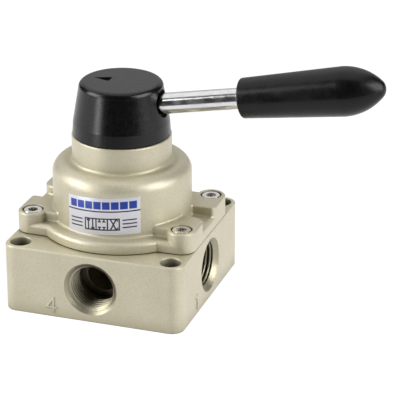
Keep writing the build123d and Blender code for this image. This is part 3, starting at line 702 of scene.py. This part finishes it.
class AIRVALVE_OT_port_threads(bpy.types.Operator):
    """Cut the pipe thread in each port"""

    bl_idname = "airvalve.port_threads"
    bl_label = "Port threads"

    def ridge(self, thread):
        """One coil of thread about Z, which ends at the block's face at level 0."""
        middle = PORT_RADIUS - thread.depth / 2
        run = thread.turns * thread.pitch
        deselect()
        bpy.ops.mesh.primitive_plane_add(size=1, location=(middle, 0, -run), rotation=(pi / 2, 0, 0))
        obj = bpy.context.object
        obj.scale = (thread.depth, thread.root, 1)
        bpy.ops.object.transform_apply()
        select_where(obj, lambda point: point.x < middle)
        centre = (PORT_RADIUS - thread.depth, 0, -run)
        bpy.ops.transform.resize(value=(1, 1, thread.crest / thread.root), center_override=centre)
        bpy.ops.mesh.bevel(offset=thread.crest_round, segments=2, affect="VERTICES")
        bpy.ops.object.mode_set(mode="OBJECT")
        steps = thread.turns * thread.steps
        coil = {"angle": 2 * pi * thread.turns, "screw_offset": run, "steps": steps, "render_steps": steps}
        add_modifier(obj, "SCREW", **coil)
        close_up(obj)
        return obj

    def trim(self, obj, thread):
        """Cut the coil's outer end back to the rim's chamfer."""
        reach = PORT_RADIUS + thread.lead_in + thread.pitch
        deselect()
        bpy.ops.mesh.primitive_cone_add(
            vertices=96, radius1=0, radius2=reach, depth=reach, location=(0, 0, thread.pitch - reach / 2)
        )
        cutter = bpy.context.object
        add_modifier(obj, "BOOLEAN", operation="DIFFERENCE", object=cutter, solver="EXACT")
        bpy.data.objects.remove(cutter)

    def execute(self, context):
        thread = context.scene.valve_thread
        finishes = context.scene.valve_finishes
        model = self.ridge(thread)
        self.trim(model, thread)
        for port in PORTS:
            outward = Vector(MOUNTS[port]["axis"])
            turn = outward.to_track_quat("Z", "Y").to_matrix().to_4x4()
            face = outward * BLOCK_FACE + Vector((0, 0, PORT_LEVEL))
            obj = model.copy()
            obj.data = model.data.copy()
            context.collection.objects.link(obj)
            settle(obj, Matrix.Translation(face) @ turn)
            material = machined_thread(finishes, 0 if abs(outward.x) > 0.5 else 1)
            join_object(obj, port.replace("port", "thread"), "valve_body", material)
        bpy.data.objects.remove(model)
        return {"FINISHED"}


class AIRVALVE_OT_label(bpy.types.Operator):
    """Wrap the plain label round the housing"""

    bl_idname = "airvalve.label"
    bl_label = "Label"

    def edge(self, label, start):
        """The label's first upright edge: a plane squeezed to one line."""
        spot = (label.radius * cos(start), label.radius * sin(start), label.low + label.height / 2)
        deselect()
        bpy.ops.mesh.primitive_plane_add(size=label.height, location=spot, rotation=(pi / 2, 0, start))
        obj = bpy.context.object
        bpy.ops.object.transform_apply()
        bpy.ops.object.mode_set(mode="EDIT")
        bpy.ops.mesh.select_all(action="SELECT")
        bpy.ops.transform.resize(value=(0, 0, 1), center_override=spot)
        bpy.ops.mesh.remove_doubles(threshold=1e-7)
        return obj

    def lay_out(self, obj, label, start):
        """Flat coordinates for the print, and the label's slight tilt."""
        layer = obj.data.uv_layers.new(name="print")
        for loop in obj.data.loops:
            point = obj.data.vertices[loop.vertex_index].co
            round_share = (atan2(point.y, point.x) - start) / label.spread
            layer.data[loop.index].uv = (round_share, (point.z - label.low) / label.height)
        for vertex in obj.data.vertices:
            off_middle = atan2(vertex.co.y, vertex.co.x) - label.middle
            vertex.co.z += off_middle * label.radius * tan(label.tilt)

    def execute(self, context):
        label = context.scene.valve_label
        start = label.middle - label.spread / 2
        obj = self.edge(label, start)
        bpy.ops.mesh.select_all(action="SELECT")
        bpy.ops.mesh.spin(steps=label.steps, angle=-label.spread, center=(0, 0, 0), axis=(0, 0, 1))
        bpy.ops.mesh.select_all(action="SELECT")
        bpy.ops.mesh.normals_make_consistent(inside=False)
        bpy.ops.object.mode_set(mode="OBJECT")
        self.lay_out(obj, label, start)
        if obj.data.polygons[0].normal.dot(obj.data.polygons[0].center) < 0:
            obj.data.flip_normals()
        add_modifier(obj, "SOLIDIFY", thickness=label.thickness, offset=1.0)
        add_modifier(obj, "BEVEL", width=label.thickness * 0.3, segments=2, limit_method="ANGLE")
        settle(obj)
        material = printed_label(context.scene.valve_finishes, label)
        join_object(obj, "label_plate", "valve_body", material)
        return {"FINISHED"}


class AIRVALVE_OT_lever(bpy.types.Operator):
    """Finish the hub, the rod and the grip"""

    bl_idname = "airvalve.lever"
    bl_label = "Lever"

    def execute(self, context):
        finishes = context.scene.valve_finishes
        lever = context.scene.valve_lever
        dress("lever_hub", satin_hub(finishes))
        along_rod = lever.tilt - pi / 2
        dress("lever_rod", plated("chrome_plate", finishes.chrome, 0.12, 0.24, 3 * MM, along_rod))
        dress("lever_grip", moulded_grip(finishes, lever))
        return {"FINISHED"}


class AIRVALVE_OT_cover_screws(bpy.types.Operator):
    """Plate the screws that hold the cover"""

    bl_idname = "airvalve.cover_screws"
    bl_label = "Cover screws"

    def execute(self, context):
        nickel = context.scene.valve_finishes.nickel
        dress("cover_screws", plated("nickel_plate", nickel, 0.16, 0.3, 0.8 * MM))
        return {"FINISHED"}


class AIRVALVE_OT_inner_pieces(bpy.types.Operator):
    """Finish the pieces inside the valve"""

    bl_idname = "airvalve.inner_pieces"
    bl_label = "Inner pieces"

    steel_nodes = (
        "port_plate", "plate_dowels", "stop_pin", "spindle", "drive_pins",
        "rotor_spring", "detent_ball_a", "detent_ball_b", "detent_spring_a", "detent_spring_b",
    )
    bronze_nodes = ("neck_bush", "thrust_washer", "rotor_disc")
    rubber_nodes = ("cover_seal", "port_seals", "wiper_ring", "spindle_seal")

    def execute(self, context):
        finishes = context.scene.valve_finishes
        finish_sets = (
            (self.steel_nodes, plated("ground_steel", finishes.steel, 0.2, 0.36, 1.2 * MM)),
            (self.bronze_nodes, plated("turned_bronze", finishes.bronze, 0.28, 0.42, 1.5 * MM)),
            (self.rubber_nodes, soft_rubber(finishes)),
            (("grip_insert",), plated("turned_brass", finishes.brass, 0.22, 0.36, 1.5 * MM)),
        )
        for nodes, material in finish_sets:
            for node in nodes:
                dress(node, material)
        return {"FINISHED"}


class AIRVALVE_OT_stage(bpy.types.Operator):
    """Set the floor, the room, the lamps and the camera"""

    bl_idname = "airvalve.stage"
    bl_label = "Stage"

    def bare_material(self, name):
        """A material with its board and its output, and no shader yet."""
        material = bpy.data.materials.new(name)
        material.use_nodes = True
        nodes = material.node_tree.nodes
        nodes.remove(nodes["Principled BSDF"])
        return material, Board(material.node_tree), nodes["Material Output"]

    def seen_share(self, board):
        """One for rays that show the background, by eye, in gloss or through glass."""
        path = board.add("ShaderNodeLightPath").outputs
        either = board.maths("MAXIMUM", path["Is Camera Ray"], path["Is Glossy Ray"])
        return board.maths("MAXIMUM", either, path["Is Transmission Ray"])

    def matt(self, board, grey):
        """A matt grey shader."""
        return board.add("ShaderNodeBsdfDiffuse", {"Color": (grey, grey, grey, 1.0)}).outputs[0]

    def floor(self, stage):
        """A floor that is seen as white but for the valve's shadow, and lights the valve as a pale grey."""
        deselect()
        bpy.ops.mesh.primitive_plane_add(size=stage.floor_size, location=(0, 0, -0.1 * MM))
        obj = bpy.context.object
        obj.name = "floor"
        material, board, end = self.bare_material("white_floor")
        # Where the valve covers the floor, the floor's glow is turned down: a painted shadow beneath the
        # valve and in its holes
        under_valve = board.add("ShaderNodeAmbientOcclusion", {"Distance": 12 * MM}).outputs["AO"]
        glow = board.span(under_valve, 0.15, 0.4, 0.0, 0.93)
        white = board.add("ShaderNodeEmission", {"Strength": glow}).outputs[0]
        lit = board.add("ShaderNodeAddShader", {0: self.matt(board, 0.16), 1: white}).outputs[0]
        shaders = {0: self.seen_share(board), 1: self.matt(board, 0.5), 2: lit}
        board.feed(end, {"Surface": board.add("ShaderNodeMixShader", shaders).outputs[0]})
        obj.data.materials.append(material)

    def room(self, stage):
        """A world that is seen as white and lights the valve a little."""
        world = bpy.data.worlds.new("white_room")
        world.use_nodes = True
        bpy.context.scene.world = world
        board = Board(world.node_tree)
        dim = world.node_tree.nodes["Background"]
        board.feed(dim, {"Color": (0.95, 0.97, 1.0, 1.0), "Strength": stage.sky})
        white = board.add("ShaderNodeBackground", {"Color": (1.0, 1.0, 1.0, 1.0), "Strength": 1.0})
        shaders = {0: self.seen_share(board), 1: dim.outputs[0], 2: white.outputs[0]}
        mix = board.add("ShaderNodeMixShader", shaders)
        board.feed(world.node_tree.nodes["World Output"], {"Surface": mix.outputs[0]})

    def away(self, around, height, distance):
        """A spot by its azimuth and elevation in degrees and its distance from the valve."""
        turn = radians(around)
        rise = radians(height)
        direction = Vector((sin(turn) * cos(rise), -cos(turn) * cos(rise), sin(rise)))
        return CAMERA_TARGET + distance * direction

    def lamp(self, name, place, sides, watts):
        """A soft lamp that faces the valve."""
        deselect()
        bpy.ops.object.light_add(type="AREA", location=place)
        obj = bpy.context.object
        obj.name = name
        obj.data.shape = "RECTANGLE"
        obj.data.size, obj.data.size_y = sides
        obj.data.energy = watts
        obj.rotation_euler = (CAMERA_TARGET - place).to_track_quat("-Z", "Y").to_euler()

    def gloss_only(self, obj, glow):
        """Let only gloss see an even surface round the valve, black at 0 and white at 1."""
        material, board, end = self.bare_material(obj.name)
        even = board.add("ShaderNodeEmission", {"Strength": glow})
        board.feed(end, {"Surface": even.outputs[0]})
        obj.data.materials.append(material)
        for flag in ("visible_camera", "visible_diffuse", "visible_shadow", "visible_transmission"):
            setattr(obj, flag, False)

    def dark_room(self):
        """Dark walls and ceiling beyond the lamps, down to just above the floor."""
        deselect()
        bpy.ops.mesh.primitive_uv_sphere_add(segments=48, ring_count=24, radius=2.6)
        obj = bpy.context.object
        obj.name = "dark_room"
        bpy.ops.object.mode_set(mode="EDIT")
        bpy.ops.mesh.bisect(plane_co=(0, 0, 1 * MM), plane_no=(0, 0, 1), clear_inner=True)
        bpy.ops.object.mode_set(mode="OBJECT")
        self.gloss_only(obj, 0.015)

    def card(self, name, place, aim, sides, glow):
        """A plain card that only gloss sees, turned to a point."""
        deselect()
        turn = (aim - place).to_track_quat("Z", "Y").to_euler()
        bpy.ops.mesh.primitive_plane_add(size=1, location=place, rotation=turn)
        obj = bpy.context.object
        obj.name = name
        obj.scale = (*sides, 1)
        bpy.ops.object.transform_apply()
        self.gloss_only(obj, glow)

    def lights(self, stage):
        """Two soft lamps, and cards for the highlights and dark bands on gloss."""
        left = self.away(around=-62, height=24, distance=1.4)
        right = self.away(around=84, height=28, distance=1.4)
        self.lamp("left_lamp", left, (0.9, 1.0), stage.left_power)
        self.lamp("right_lamp", right, (1.1, 1.2), stage.right_power)
        self.dark_room()
        above = Vector((-0.7, 0.87, 1.45))
        below = Vector((-0.7, 0.87, 0.0))
        self.card("ceiling_card", above, below, sides=(2.4, 2.56), glow=1.15)
        behind = self.away(around=198, height=20, distance=1.7)
        self.card("back_card", behind, CAMERA_TARGET, sides=(2.6, 0.85), glow=0.65)
        low_front = Vector((0.75, -0.3, 0.06))
        self.card("dark_front_card", low_front, Vector((0.75, 0.0, 0.06)), sides=(1.8, 0.12), glow=0.05)
        low_left = Vector((-0.215, -0.285, 0.075))
        self.card("bright_left_card", low_left, Vector((0.0, 0.0, 0.075)), sides=(0.08, 0.15), glow=7.0)

    def camera(self, stage):
        """A camera that looks at the valve from the stage's angles, upright but for its roll."""
        around = stage.azimuth
        rise = stage.elevation
        back = Vector((sin(around) * cos(rise), -cos(around) * cos(rise), sin(rise)))
        level = Vector((cos(around), sin(around), 0))
        above = back.cross(level)
        right = cos(stage.roll) * level + sin(stage.roll) * above
        up = back.cross(right)
        deselect()
        bpy.ops.object.camera_add()
        obj = bpy.context.object
        turn = Matrix((right, up, back)).transposed().to_4x4()
        obj.matrix_world = Matrix.Translation(CAMERA_TARGET + stage.distance * back) @ turn
        obj.data.lens = stage.lens
        obj.data.sensor_width = 36.0
        obj.data.clip_start = 0.05
        obj.data.clip_end = 50.0
        bpy.context.scene.camera = obj

    def execute(self, context):
        stage = context.scene.valve_stage
        context.scene.view_settings.view_transform = "Standard"
        self.floor(stage)
        self.room(stage)
        self.lights(stage)
        self.camera(stage)
        return {"FINISHED"}


class AIRVALVE_PT_panel(bpy.types.Panel):
    """Lists the valve's pieces"""

    bl_label = "Hand lever air valve"
    bl_idname = "AIRVALVE_PT_panel"
    bl_space_type = "VIEW_3D"
    bl_region_type = "UI"
    bl_category = "Air valve"

    def draw(self, context):
        for operator in OPERATORS:
            self.layout.operator(operator.bl_idname)
        for name, group in SETTINGS.items():
            settings = getattr(context.scene, name)
            box = self.layout.box()
            for field in group.__annotations__:
                box.prop(settings, field)


OPERATORS = (
    AIRVALVE_OT_castings,
    AIRVALVE_OT_port_threads,
    AIRVALVE_OT_label,
    AIRVALVE_OT_lever,
    AIRVALVE_OT_cover_screws,
    AIRVALVE_OT_inner_pieces,
    AIRVALVE_OT_stage,
)


def register():
    for group in (*SETTINGS.values(), *OPERATORS, AIRVALVE_PT_panel):
        bpy.utils.register_class(group)
    for name, group in SETTINGS.items():
        setattr(bpy.types.Scene, name, bpy.props.PointerProperty(type=group))


def unregister():
    for name in SETTINGS:
        delattr(bpy.types.Scene, name)
    for group in (AIRVALVE_PT_panel, *reversed(OPERATORS), *SETTINGS.values()):
        bpy.utils.unregister_class(group)


def main():
    register()
    for operator in OPERATORS:
        family, name = operator.bl_idname.split(".")
        getattr(getattr(bpy.ops, family), name)()


if __name__ == "__main__":
    main()
